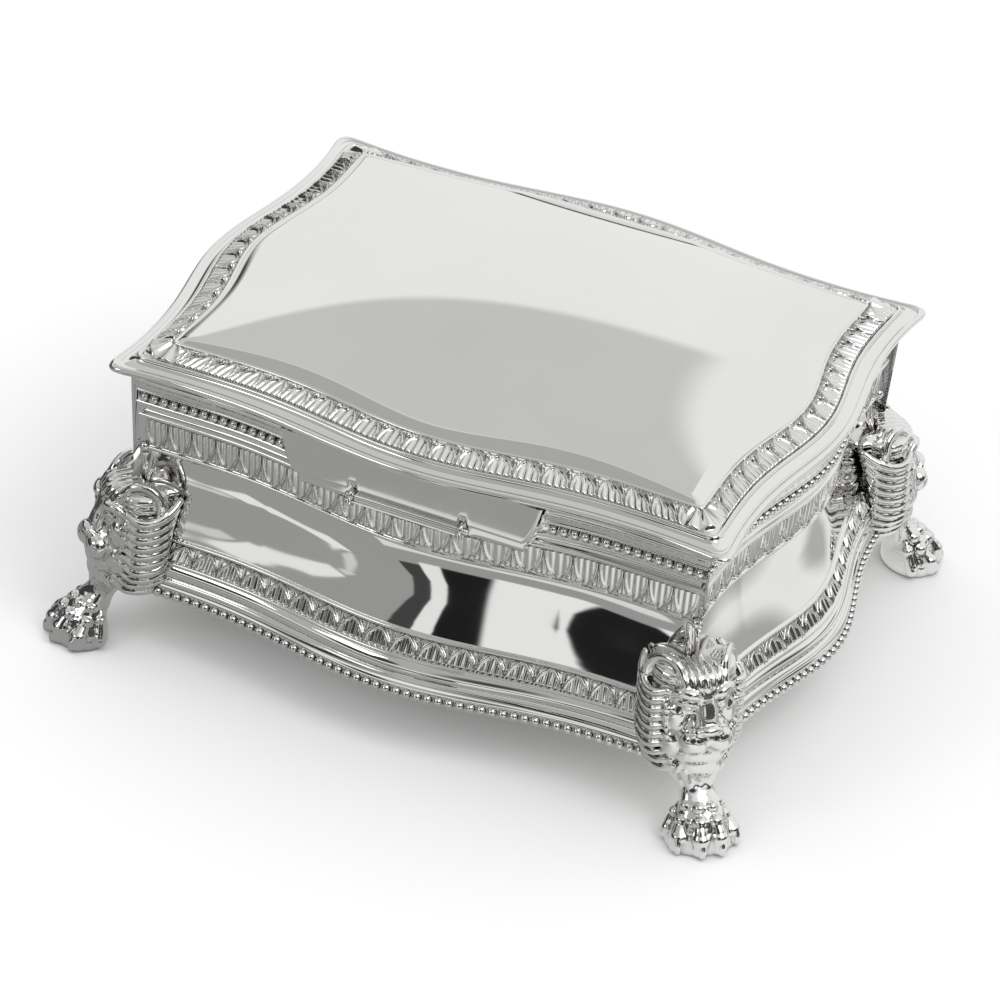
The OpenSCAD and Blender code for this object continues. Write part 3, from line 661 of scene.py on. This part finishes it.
class Clay(Soup):
    """Closed lumps and strands that are then fused into one skin."""
    def ell(self, c, r, turn=0.0, seg=24, rings=14):
        th = np.linspace(0, PI, rings + 1)[1:-1]
        ph = np.linspace(0, 2 * PI, seg, endpoint=False)
        pts = np.array([[math.sin(a) * math.cos(b), math.sin(a) * math.sin(b), math.cos(a)] for a in th for b in ph] + [[0, 0, 1], [0, 0, -1]])
        pts = pts * r
        ca, sa = math.cos(turn), math.sin(turn)
        pts = np.column_stack([pts[:, 0] * ca - pts[:, 1] * sa, pts[:, 0] * sa + pts[:, 1] * ca, pts[:, 2]]) + np.asarray(c)
        m, f = len(th), []
        for i in range(m - 1):
            for j in range(seg):
                f.append((i * seg + j, (i + 1) * seg + j, (i + 1) * seg + (j + 1) % seg, i * seg + (j + 1) % seg))
        for j in range(seg):
            f.append((m * seg, j, (j + 1) % seg))
            f.append((m * seg + 1, (m - 1) * seg + (j + 1) % seg, (m - 1) * seg + j))
        self.add(pts, f)

    def both(self, fn, c, *a, **k):
        """The same lump on both sides of the face."""
        turn = k.pop("turn", 0.0)
        fn(c, *a, turn=turn, **k)
        fn((c[0], -c[1], c[2]), *a, turn=-turn, **k)

    def strand(self, pts, radii, seg=10, steps=5):
        """A round strand through some points with a radius at each."""
        pts, radii = np.asarray(pts, float), np.asarray(radii, float)
        if len(pts) > 2:       # Catmull-Rom
            q, rr = [], []
            ext = np.vstack([2 * pts[0] - pts[1], pts, 2 * pts[-1] - pts[-2]])
            re = np.concatenate([[radii[0]], radii, [radii[-1]]])
            for i in range(1, len(ext) - 2):
                for j in range(steps):
                    t = j / steps
                    a, b, c, d = ext[i - 1], ext[i], ext[i + 1], ext[i + 2]
                    q.append(0.5 * (2 * b + (c - a) * t + (2 * a - 5 * b + 4 * c - d) * t * t + (3 * b - a - 3 * c + d) * t ** 3))
                    rr.append(re[i] * (1 - t) + re[i + 1] * t)
            q.append(pts[-1])
            rr.append(radii[-1])
            pts, radii = np.array(q), np.array(rr)
        tan = np.gradient(pts, axis=0)
        tan /= np.linalg.norm(tan, axis=1, keepdims=True)
        up = np.array([0.31, 0.22, 0.93]) if abs(tan[0][2]) < 0.9 else np.array([1.0, 0.2, 0])
        rows, cen, rad = [], list(pts), list(radii)
        cen = [pts[0] - tan[0] * radii[0] * 0.86, pts[0] - tan[0] * radii[0] * 0.5] + cen + [pts[-1] + tan[-1] * radii[-1] * 0.5, pts[-1] + tan[-1] * radii[-1] * 0.86]
        rad = [radii[0] * 0.5, radii[0] * 0.87] + rad + [radii[-1] * 0.87, radii[-1] * 0.5]
        tans = [tan[0], tan[0]] + list(tan) + [tan[-1], tan[-1]]
        for c, r, t in zip(cen, rad, tans):
            a = np.cross(up, t)
            a /= np.linalg.norm(a)
            b = np.cross(t, a)
            up = b
            ph = np.linspace(0, 2 * PI, seg, endpoint=False)
            rows.append(c + r * (np.cos(ph)[:, None] * a + np.sin(ph)[:, None] * b))
        p = np.array(rows)
        self.grid(p, wrap_cols=True, flip=True)
        n = seg
        for ring, tip, flip in ((p[0], pts[0] - tan[0] * radii[0], True), (p[-1], pts[-1] + tan[-1] * radii[-1], False)):
            f = [((j + 1) % n, j, n) if flip else (j, (j + 1) % n, n) for j in range(n)]
            self.add(np.vstack([ring, tip]), [tuple(reversed(q)) for q in f])

    def pair(self, pts, radii, **k):
        self.strand(pts, radii, **k)
        self.strand([(p[0], -p[1], p[2]) for p in pts], radii, **k)


def lion_clay():
    c = Clay()
    # paw: a flaring slipper of four toes with claws
    for z in np.arange(0.7, 11.6, 0.7):
        u, ru, rv = (float(np.interp(z, [0, 2, 3.5, 5, 6.5, 8, 9.4, 10.8, 12], q)) for q in (
            (-0.4, -0.4, -0.5, -0.8, -1.2, -1.9, -2.8, -4.0, -4.6), (6.2, 6.2, 6.0, 5.6, 5.0, 4.1, 3.1, 2.4, 2.2), (8.0, 7.7, 7.2, 6.5, 5.8, 5.0, 4.3, 3.8, 3.6)))
        c.ell((u, 0, z), (ru, rv, 1.9))
    for s in (-1, 1):
        c.strand([(-0.4, s * 1.2, 9.0), (2.3, s * 1.7, 7.0), (4.3, s * 2.1, 4.5), (4.9, s * 2.2, 1.7)], [0.8, 1.35, 1.85, 1.85], seg=16)
        c.strand([(-2.2, s * 3.1, 8.6), (-0.4, s * 4.5, 6.2), (1.5, s * 5.9, 3.8), (2.0, s * 6.4, 1.7)], [0.8, 1.3, 1.75, 1.75], seg=16)
        c.strand([(-3.8, s * 4.1, 8.0), (-3.3, s * 5.8, 5.0), (-2.8, s * 7.2, 2.0)], [0.7, 1.25, 1.35], seg=14)
        for u, v, z, r in ((2.5, 1.75, 7.1, 1.75), (4.6, 2.1, 4.1, 2.15), (-0.3, 4.7, 6.4, 1.65), (1.8, 6.0, 3.6, 2.0)):
            c.ell((u, s * v, z), (r, r, r * 0.8))
        for u, v, z in ((0.5, 1.45, 9.3), (-1.7, 3.6, 8.9), (-3.6, 5.2, 6.4), (-2.8, 6.9, 3.0)):
            c.ell((u, s * v, z), (1.35, 1.3, 1.15))
        for u, v in ((5.6, 2.2), (2.6, 6.6)):
            c.strand([(u, s * v * 1.02, 3.7), (u + 0.95, s * v * 1.03, 2.4), (u + 1.1, s * v * 1.03, 0.9)], [0.9, 0.85, 0.6], seg=10)
    # heel and ankle with its tendons, flaring into the mask
    c.strand([(-3.2, 0, 2.0), (-3.6, 0, 5.0), (-5.0, 0, 9.5), (-5.6, 0, 13.0), (-6.6, 0, 17.0)], [2.2, 2.8, 2.5, 2.7, 4.2], seg=20)
    c.pair([(-3.0, 1.4, 9.6), (-3.8, 1.7, 11.6), (-4.1, 2.2, 13.6), (-4.2, 3.2, 16.8)], [1.25, 1.2, 1.25, 1.6])
    c.pair([(-5.2, 2.4, 8.4), (-5.6, 2.9, 11.0), (-6.2, 3.6, 13.4), (-7.0, 5.6, 16.8)], [1.2, 1.2, 1.3, 1.8])
    c.pair([(-4.8, 3.1, 11.6), (-5.4, 4.0, 13.8), (-6.4, 5.8, 16.0), (-8.0, 7.0, 18.4)], [0.75, 0.85, 0.95, 0.9])
    c.strand([(-2.2, 0, 10.2), (-3.2, 0, 11.6), (-3.5, 0, 13.6), (-3.4, 0, 16.4)], [0.95, 0.85, 0.8, 0.95])
    # fill between the face and the corner of the body
    for z, r in ((17.5, 4.2), (21, 5.0), (25, 5.4), (29.5, 5.6), (34.2, 5.6)):
        a = apex(z)
        c.ell((a + 0.6, 0, z), (r * 0.95, r * 1.25, 4.2))
    # jaw, muzzle, cheeks, skull
    c.ell((-6.3, 0, 19.4), (3.6, 5.2, 4.2))
    c.ell((-5.6, 0, 25.6), (4.0, 5.8, 4.6))
    c.ell((-9.2, 0, 32.6), (4.9, 7.3, 6.6))
    c.both(c.ell, (-7.2, 5.0, 29.2), (2.7, 2.7, 4.0))
    c.both(c.ell, (-7.0, 5.2, 22.6), (2.9, 2.9, 3.8))
    c.both(c.ell, (-2.7, 2.7, 24.9), (2.7, 3.0, 3.0), turn=0.2)
    c.ell((-3.2, 0, 25.6), (2.6, 2.0, 2.4))
    for s in (-1, 0, 1):
        c.strand([(-6.9, s * 0.9, 38.0), (-5.6, s * 0.75, 35.4), (-4.7, s * 0.65, 32.8), (-3.7, s * 0.7, 30.2), (-3.0, s * 0.9, 27.6)], [1.5, 1.55, 1.6, 1.7, 1.8], seg=16)
    c.ell((-1.35, 0, 28.3), (1.45, 2.35, 1.15))
    c.both(c.ell, (-1.7, 2.0, 27.8), (0.95, 1.0, 0.85))
    # chin with its tuft
    c.ell((-4.3, 0, 20.0), (2.5, 3.1, 2.0))
    c.pair([(-5.0, 3.4, 21.0), (-6.3, 5.2, 21.9), (-7.4, 6.4, 23.6)], [0.8, 0.75, 0.6])
    # eyes, lids and brows
    c.both(c.ell, (-5.35, 3.5, 32.4), (1.15, 1.3, 0.85))
    c.pair([(-4.3, 2.4, 31.5), (-4.9, 3.7, 31.2), (-5.9, 5.0, 32.0)], [0.4, 0.5, 0.4])
    c.pair([(-4.4, 2.3, 32.9), (-4.4, 3.4, 33.6), (-5.5, 4.8, 33.5), (-6.6, 5.6, 32.6)], [0.45, 0.6, 0.6, 0.4])
    c.pair([(-4.9, 1.9, 35.0), (-4.6, 3.2, 35.7), (-5.9, 5.2, 35.9), (-7.8, 6.6, 34.4)], [1.1, 1.25, 1.2, 0.8])
    # hair over the brow, combed back to the corner of the body
    for v, w in ((0.0, 0.8), (1.55, 0.85), (3.1, 0.85), (4.6, 0.8)):
        for s in ((1,) if v == 0 else (-1, 1)):
            c.strand([(-4.7 - 0.25 * v, s * v * 0.9, 37.0), (-6.2 - 0.2 * v, s * v, 38.5), (-8.8, s * v * 1.05, 39.2), (-12.8, s * v * 1.05, 39.4)],
                     [0.7, w, w * 1.05, 0.8])
    c.ell((-8.8, 0, 36.6), (4.0, 6.0, 2.7))
    # ears: shell, thick rim and inner curl
    for s in (-1, 1):
        e = np.array([-11.6, s * 6.4, 37.0])
        nrm = np.array([0.52, s * 0.84, 0.10])
        nrm /= np.linalg.norm(nrm)
        a = np.cross([0, 0, 1.0], nrm)
        a /= np.linalg.norm(a)
        b = np.cross(nrm, a)
        c.ell(e - nrm * 1.9, (3.2, 2.8, 4.0))
        h = 1 if s > 0 else -1
        for r, dn, th, f0, f1 in ((4.35, 0.7, 1.05, -0.3, 2 * PI - 1.0), (2.75, 0.5, 0.62, -0.1, 3.7), (1.35, 0.3, 0.5, 0.2, 3.4)):
            ph = np.linspace(f0, f1, 22)
            c.strand([e + nrm * dn + r * math.cos(f) * a * h + r * 0.97 * math.sin(f) * b for f in ph], [th] * 22, steps=1)
    # mane: slanting locks on each side, from the cheek round to the wall
    for i in range(10):
        z = 14.4 + 2.15 * i
        f = min(1, (i + 1.2) / 4)
        g = 0.5 + 0.5 * f
        pts = [(-6.6 - 0.12 * i, 5.4 + 2.2 * f, z + 1.8), (-8.6 - 0.12 * i, 6.6 + 3.0 * f, z + 0.7), (-12.4, 7.6 + 2.7 * f, z + 0.6),
               (-16.2, 7.9 + 1.9 * f, z + 1.8), (apex(z + 4) - 6.3 * g, 6.6 * g + 1.9, z + 4.0)]
        c.pair(pts, [0.75, 0.95, 1.02, 1.0, 0.78], seg=10)
    for z in np.arange(16.2, 38.5, 1.3):
        a, f = apex(z), min(1, (z - 12) / 9)
        c.both(c.ell, (a - 3.0, 4.5, z), (4.3, 1.9, 1.6), turn=-0.5, seg=12, rings=8)
        c.both(c.ell, (-12.6, 3.6 + 1.2 * f, z), (5.4, 2.6 + 1.6 * f, 1.5), turn=-0.12, seg=16, rings=8)
    # beaded line between the face and the mane
    for z in np.arange(17.4, 34.0, 1.55):
        c.both(c.ell, (np.interp(z, [16, 24, 34], [-5.2, -6.2, -7.4]), np.interp(z, [16, 24, 34], [5.5, 7.3, 7.9]), z), (0.78, 0.78, 0.78), seg=10, rings=8)
    # beard
    for i, v in enumerate((0.0, 1.7, 3.4, 5.0)):
        for s in ((1,) if i == 0 else (-1, 1)):
            c.strand([(-3.4 - 0.3 * i, s * v * 0.8, 18.6), (-3.6 - 0.35 * i, s * v, 16.4), (-4.4 - 0.2 * i, s * v * 0.85, 14.0)], [0.8, 0.85, 0.5])
    return c


def fuse(ob, voxel, relax):
    m = ob.modifiers.new("skin", "REMESH")
    m.mode = "VOXEL"
    m.voxel_size = voxel * MM
    m.use_smooth_shade = True
    s = ob.modifiers.new("relax", "SMOOTH")
    s.factor = 0.5
    s.iterations = relax
    dg = bpy.context.evaluated_depsgraph_get()
    me = bpy.data.meshes.new_from_object(ob.evaluated_get(dg))
    return me


def build_feet():
    src = bpy.data.meshes.new("clay")
    c = lion_clay()
    src.from_pydata([tuple(v) for v in np.vstack(c.v) * MM], [], c.f)
    tmp = bpy.data.objects.new("clay", src)
    bpy.context.scene.collection.objects.link(tmp)
    me = fuse(tmp, 0.27, 2)
    bpy.data.objects.remove(tmp)
    n = len(me.vertices)
    co = np.zeros(n * 3)
    me.vertices.foreach_get("co", co)
    p = co.reshape(-1, 3) / MM
    p[:, 2] = np.maximum(p[:, 2], 0.0)
    # cheeks stand out beyond the line of the mane
    off = p[:, 0] - np.interp(p[:, 2], APEX_Z, APEX_U) + np.abs(p[:, 1])
    p[:, 1] *= 1 + 0.05 * smooth(15.0, 19.0, p[:, 2]) * smooth(41.0, 36.0, p[:, 2]) * smooth(1.0, 5.0, off)
    # what would come through the wall is pressed back to just behind its face
    lim = np.interp(p[:, 2], APEX_Z, APEX_U) - np.abs(p[:, 1]) - 2.2
    hi = p[:, 2] > 13.9
    p[:, 0] = np.where(hi, np.maximum(p[:, 0], lim), p[:, 0])
    faces = [tuple(q.vertices) for q in me.polygons]
    turned = [tuple(reversed(q)) for q in faces]
    q2 = 1 / math.sqrt(2)
    for sx, sy, name in ((1, 1, "rear_right"), (-1, 1, "rear_left"), (1, -1, "front_right"), (-1, -1, "front_left")):
        x = sx * (PAW_X + (p[:, 0] - p[:, 1]) * q2)
        y = sy * (PAW_Y + (p[:, 0] + p[:, 1]) * q2)
        ob = mesh_object("lion_foot_" + name, np.column_stack([x, y, p[:, 2]]), faces if sx * sy > 0 else turned, "box", MASKS)
        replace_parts(ob, "foot_" + name)
    print("foot faces", len(faces))


build_feet()

# ---- hinge -------------------------------------------------------------------------
def build_flange():
    """Plate on the lid that lies in the recess, with a folded lower edge."""
    zs = [57.7, 57.85, 58.1, 58.6, 60.0, 62.0, 64.0, 66.0, 67.2, 67.7]
    ys = [57.85, 58.35, 58.5, 58.52, 58.53, 58.55, 58.57, 58.59, 58.6, 58.6]
    rows = []
    for z, y in zip(zs, ys):
        h = float(np.interp(z, [56, 61, 67.8], [26.2, 29.3, 31.0])) - 0.15
        t = np.concatenate([[-1, -0.996, -0.985], np.linspace(-0.97, 0.97, 220), [0.985, 0.996, 1]])
        yy = y - 0.35 * smooth(0.985, 1.0, np.abs(t))
        # notches over the ears of the body's leaf
        notch = smooth(11.75, 12.1, np.abs(t * h)) * smooth(14.25, 13.9, np.abs(t * h))
        rows.append(np.column_stack([t * h, yy, z + notch * 2.1 * (67.7 - z) / 10]))
    p = np.array(rows)
    back = p.copy()
    back[..., 1] = 57.72
    s = Soup()
    s.grid(p[::-1])
    s.grid(back)
    for a, b in ((p[0], back[0]), (back[-1], p[-1])):
        s.grid(np.array([a, b]))
    s.grid(np.array([back[:, 0], p[:, 0]]))
    s.grid(np.array([p[:, -1], back[:, -1]]))
    # sole that is soldered under the lid
    x = np.linspace(-29.5, 29.5, 60)
    yo = np.maximum(58.4, lid_y(x / lid_cx(0)) - 1.6)
    top = np.array([np.column_stack([x, np.full(60, 57.8), np.full(60, 67.83)]), np.column_stack([x, yo, np.full(60, 67.83)])])
    low = top - [0, 0, 0.55]
    s.grid(top, flip=True)
    s.grid(low)
    for i in (0, 1):
        s.grid(np.array([top[i], low[i]]), flip=(i == 1))
    s.grid(np.array([top[:, 0], low[:, 0]]), flip=True)
    s.grid(np.array([top[:, -1], low[:, -1]]))
    ob = s.object("hinge_flange_shape", "lid", "hinge_silver", PLAIN)
    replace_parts(ob, "hinge_flange")


def build_hooks():
    """Bent wire ends of the body leaf at both ends of the pin."""
    c = Clay()
    for sx in (-1, 1):
        x = sx * 13.0
        a = np.radians(np.linspace(-125, 118, 14))
        c.strand([(x, 58.2 + 1.52 * math.cos(q), 56.3 + 1.52 * math.sin(q)) for q in a], [0.5] * 14, seg=12, steps=3)
        c.ball((sx * 13.9, 58.2, 56.3), 0.85, 12, 8, axis=0)
    c.object("hinge_hooks", "box", "hinge_silver", PLAIN)


build_flange()
build_hooks()

# ---- what is carried over from the construction ----------------------------------
for node, mat in (("base_plate", UNDER), ("foot_screws", BRASS), ("floor_board", CARD), ("lid_board", CARD),
                  ("hinge_leaf_lid", PLAIN), ("hinge_leaf_body", PLAIN), ("hinge_pin", PLAIN)):
    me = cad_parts[node].data
    me.materials.clear()
    me.materials.append(mat)

# ---- room ----------------------------------------------------------------------
# The object is polished, so what it mirrors is set apart from what lights it: a grey table top with
# light and dark cards on it (a painted reflection that the floor glows with for glossy rays), a dark camera side, and a
# white tent over it.
def math_node(nt, op, a, b=None, c=None, clamp=False):
    n = nt.nodes.new("ShaderNodeMath")
    n.operation = op
    n.use_clamp = clamp
    for i, v in enumerate((a, b, c)):
        if v is None:
            continue
        if isinstance(v, (int, float)):
            n.inputs[i].default_value = v
        else:
            nt.links.new(v, n.inputs[i])
    return n.outputs[0]


def step(nt, src, lo, hi):
    """0 below lo, 1 above hi, or the other way round where lo is the larger."""
    n = nt.nodes.new("ShaderNodeMapRange")
    n.interpolation_type = "SMOOTHSTEP"
    n.inputs["From Min"].default_value = min(lo, hi)
    n.inputs["From Max"].default_value = max(lo, hi)
    n.inputs["To Min"].default_value = 0.0 if lo < hi else 1.0
    n.inputs["To Max"].default_value = 1.0 if lo < hi else 0.0
    nt.links.new(src, n.inputs["Value"])
    return n.outputs[0]


def layer(nt, under, value, mask):
    """A grey value laid over another by a mask."""
    d = math_node(nt, "SUBTRACT", value, under)
    return math_node(nt, "MULTIPLY_ADD", d, mask, under)


def patch(nt, x, y, x0, x1, y0, y1, soft=0.004):
    a = math_node(nt, "MULTIPLY", step(nt, x, x0 - soft, x0 + soft), step(nt, x, x1 + soft, x1 - soft))
    b = math_node(nt, "MULTIPLY", step(nt, y, y0 - soft, y0 + soft), step(nt, y, y1 + soft, y1 - soft))
    return math_node(nt, "MULTIPLY", a, b)


def floor_painted_reflection_mat():
    m, nt, b = new_mat("pale_floor_painted_reflection")
    out = [n for n in nt.nodes if n.type == "OUTPUT_MATERIAL"][0]
    b.inputs["Base Color"].default_value = (0.94, 0.94, 0.94, 1)
    b.inputs["Roughness"].default_value = 0.9
    b.inputs["Specular IOR Level"].default_value = 0.0
    tc = nt.nodes.new("ShaderNodeTexCoord")
    sep = nt.nodes.new("ShaderNodeSeparateXYZ")
    nt.links.new(tc.outputs["Object"], sep.inputs[0])
    x, y = sep.outputs["X"], sep.outputs["Y"]
    r = math_node(nt, "SQRT", math_node(nt, "ADD", math_node(nt, "MULTIPLY", x, x), math_node(nt, "MULTIPLY", y, y)))
    ring = math_node(nt, "MULTIPLY", step(nt, r, 0.38, 0.5), math_node(nt, "MULTIPLY", step(nt, y, 0.04, 0.12), step(nt, x, 0.25, 0.15)))
    v = layer(nt, math_node(nt, "MULTIPLY_ADD", r, 0.0, 0.36), 0.05, ring)
    v = layer(nt, v, 0.88, step(nt, y, -0.12, -0.3))
    v = layer(nt, v, 0.8, step(nt, r, 0.9, 1.3))
    v = layer(nt, v, 0.95, step(nt, x, -0.030, -0.10))
    for x0, x1, y0, y1, g in ((-0.10, -0.019, 0.156, 0.6, 0.95), (-0.018, 0.010, 0.160, 0.6, 0.015), (0.010, 0.027, 0.158, 0.45, 0.90),
                              (0.027, 0.047, 0.165, 0.45, 0.06), (-0.03, 0.050, 0.116, 0.136, 0.80),
                              (0.097, 0.1115, 0.150, 0.176, 0.92), (0.100, 0.108, 0.180, 0.194, 0.70),
                              (0.15, 0.26, -0.2, 0.10, 0.08), (-0.34, -0.20, -0.1, 0.2, 0.25)):
        v = layer(nt, v, g, patch(nt, x, y, x0, x1, y0, y1, 0.0012))
    v = layer(nt, v, 0.45, patch(nt, x, y, -0.18, -0.09, -0.030, 0.04, 0.008))
    v = layer(nt, v, 0.50, patch(nt, x, y, -0.20, -0.09, -0.125, -0.066, 0.008))
    # glossy rays see the floor glow with this grey pattern in place of its lit colour: a painted reflection, not a lamp
    em = nt.nodes.new("ShaderNodeEmission")
    nt.links.new(v, em.inputs["Color"])
    lp = nt.nodes.new("ShaderNodeLightPath")
    mix = nt.nodes.new("ShaderNodeMixShader")
    nt.links.new(lp.outputs["Is Glossy Ray"], mix.inputs[0])
    nt.links.new(b.outputs[0], mix.inputs[1])
    nt.links.new(em.outputs[0], mix.inputs[2])
    nt.links.new(mix.outputs[0], out.inputs[0])
    return m


me = bpy.data.meshes.new("floor")
me.from_pydata([(-6, -6, 0), (6, -6, 0), (6, 6, 0), (-6, 6, 0)], [], [(0, 1, 2, 3)])
me.materials.append(floor_painted_reflection_mat())
floor = bpy.data.objects.new("floor", me)
bpy.context.scene.collection.objects.link(floor)


def soft_lamp(name, at, aim, sx, sy, watts):
    d = bpy.data.lights.new(name, "AREA")
    d.shape = "RECTANGLE"
    d.size, d.size_y = sx, sy
    d.energy = watts
    ob = bpy.data.objects.new(name, d)
    ob.location = at
    ob.rotation_euler = (Vector(aim) - Vector(at)).to_track_quat("-Z", "Y").to_euler()
    bpy.context.scene.collection.objects.link(ob)
    ob.visible_camera = False
    return ob


def build_world():
    w = bpy.data.worlds.new("studio")
    bpy.context.scene.world = w
    w.use_nodes = True
    nt = w.node_tree
    nt.nodes.clear()
    out = nt.nodes.new("ShaderNodeOutputWorld")
    bg = nt.nodes.new("ShaderNodeBackground")
    nt.links.new(bg.outputs[0], out.inputs[0])
    tc = nt.nodes.new("ShaderNodeTexCoord")
    nm = nt.nodes.new("ShaderNodeVectorMath")
    nm.operation = "NORMALIZE"
    nt.links.new(tc.outputs["Generated"], nm.inputs[0])
    sep = nt.nodes.new("ShaderNodeSeparateXYZ")
    nt.links.new(nm.outputs[0], sep.inputs[0])
    x, y, z = sep.outputs
    v = ramp(nt, z, [(0.0, (0.03,) * 3), (0.05, (0.03,) * 3), (0.075, (0.3,) * 3), (0.12, (0.35,) * 3), (0.15, (0.98,) * 3), (0.50, (0.92,) * 3), (1.0, (0.86,) * 3)]).outputs[0]
    v = layer(nt, v, 0.97, math_node(nt, "MULTIPLY", step(nt, y, -0.35, -0.55), step(nt, z, 0.0, 0.02)))
    v = layer(nt, v, 0.12, math_node(nt, "MULTIPLY", step(nt, x, -0.48, -0.58), math_node(nt, "MULTIPLY", step(nt, z, 0.03, 0.05), step(nt, z, 0.14, 0.10))))
    # the grey part of the tent that the near side of the lid mirrors
    g = math_node(nt, "MULTIPLY", step(nt, z, 0.575, 0.60), math_node(nt, "MULTIPLY", step(nt, x, 0.07, 0.13), step(nt, y, 0.10, -0.06)))
    v = layer(nt, v, 0.66, g)
    # grey overhead on the camera's side, for the hollow of the lid's edge
    v = layer(nt, v, 0.47, math_node(nt, "MULTIPLY", step(nt, y, 0.02, 0.12), math_node(nt, "MULTIPLY", step(nt, z, 0.2, 0.3), step(nt, x, -0.1, 0.05))))
    # dark uprights at the sides of the tent
    for ax, lo, hi, val in ((x, 0.62, 0.70, 0.05), (x, -0.80, -0.88, 0.08)):
        v = layer(nt, v, val, math_node(nt, "MULTIPLY", step(nt, ax, lo, hi), step(nt, z, 0.55, 0.45)))
    for cx, cy, cz, r0, r1, val in ((-0.325, 0.812, 0.485, 17, 26, 0.04), (0.42, 0.80, 0.42, 9, 12, 0.05), (-0.80, 0.45, 0.38, 10, 14, 0.03)):
        dot = nt.nodes.new("ShaderNodeVectorMath")
        dot.operation = "DOT_PRODUCT"
        k = math.sqrt(cx * cx + cy * cy + cz * cz)
        dot.inputs[1].default_value = (cx / k, cy / k, cz / k)
        nt.links.new(nm.outputs[0], dot.inputs[0])
        v = layer(nt, v, val, step(nt, dot.outputs["Value"], math.cos(math.radians(r1)), math.cos(math.radians(r0))))
    lp = nt.nodes.new("ShaderNodeLightPath")
    v = layer(nt, math_node(nt, "MULTIPLY_ADD", z, 0.0, 1.0), v, lp.outputs["Is Glossy Ray"])
    nt.links.new(v, bg.inputs["Color"])
    bg.inputs["Strength"].default_value = 1.0


build_world()
soft_lamp("key", (-1.1, 0.3, 1.5), (0, 0, 0.04), 0.9, 0.9, 6)
soft_lamp("fill", (0.9, 1.3, 1.2), (0, 0, 0.04), 0.5, 0.5, 2)
bpy.context.scene.view_settings.view_transform = "Standard"

# ---- camera ----------------------------------------------------------------------
AZ, EL, ROLL = 0.382258778, 0.586553465, 0.0886406637
cam_at = Vector((-0.395666, 0.990030, 0.734377))
target = Vector((-0.017147, 0.048522, 0.060))
fwd = (target - cam_at).normalized()
right = fwd.cross(Vector((0, 0, 1))).normalized()
up = right.cross(fwd)
r2 = right * math.cos(ROLL) + up * math.sin(ROLL)
u2 = -right * math.sin(ROLL) + up * math.cos(ROLL)
cd = bpy.data.cameras.new("camera")
cd.sensor_width = 36
cd.lens = 5720.54 / 1000 * 36
cd.clip_start, cd.clip_end = 0.05, 30
cam = bpy.data.objects.new("camera", cd)
cam.matrix_world = Matrix((
    (r2.x, u2.x, -fwd.x, cam_at.x), (r2.y, u2.y, -fwd.y, cam_at.y), (r2.z, u2.z, -fwd.z, cam_at.z), (0, 0, 0, 1)))
bpy.context.scene.collection.objects.link(cam)
bpy.context.scene.camera = cam
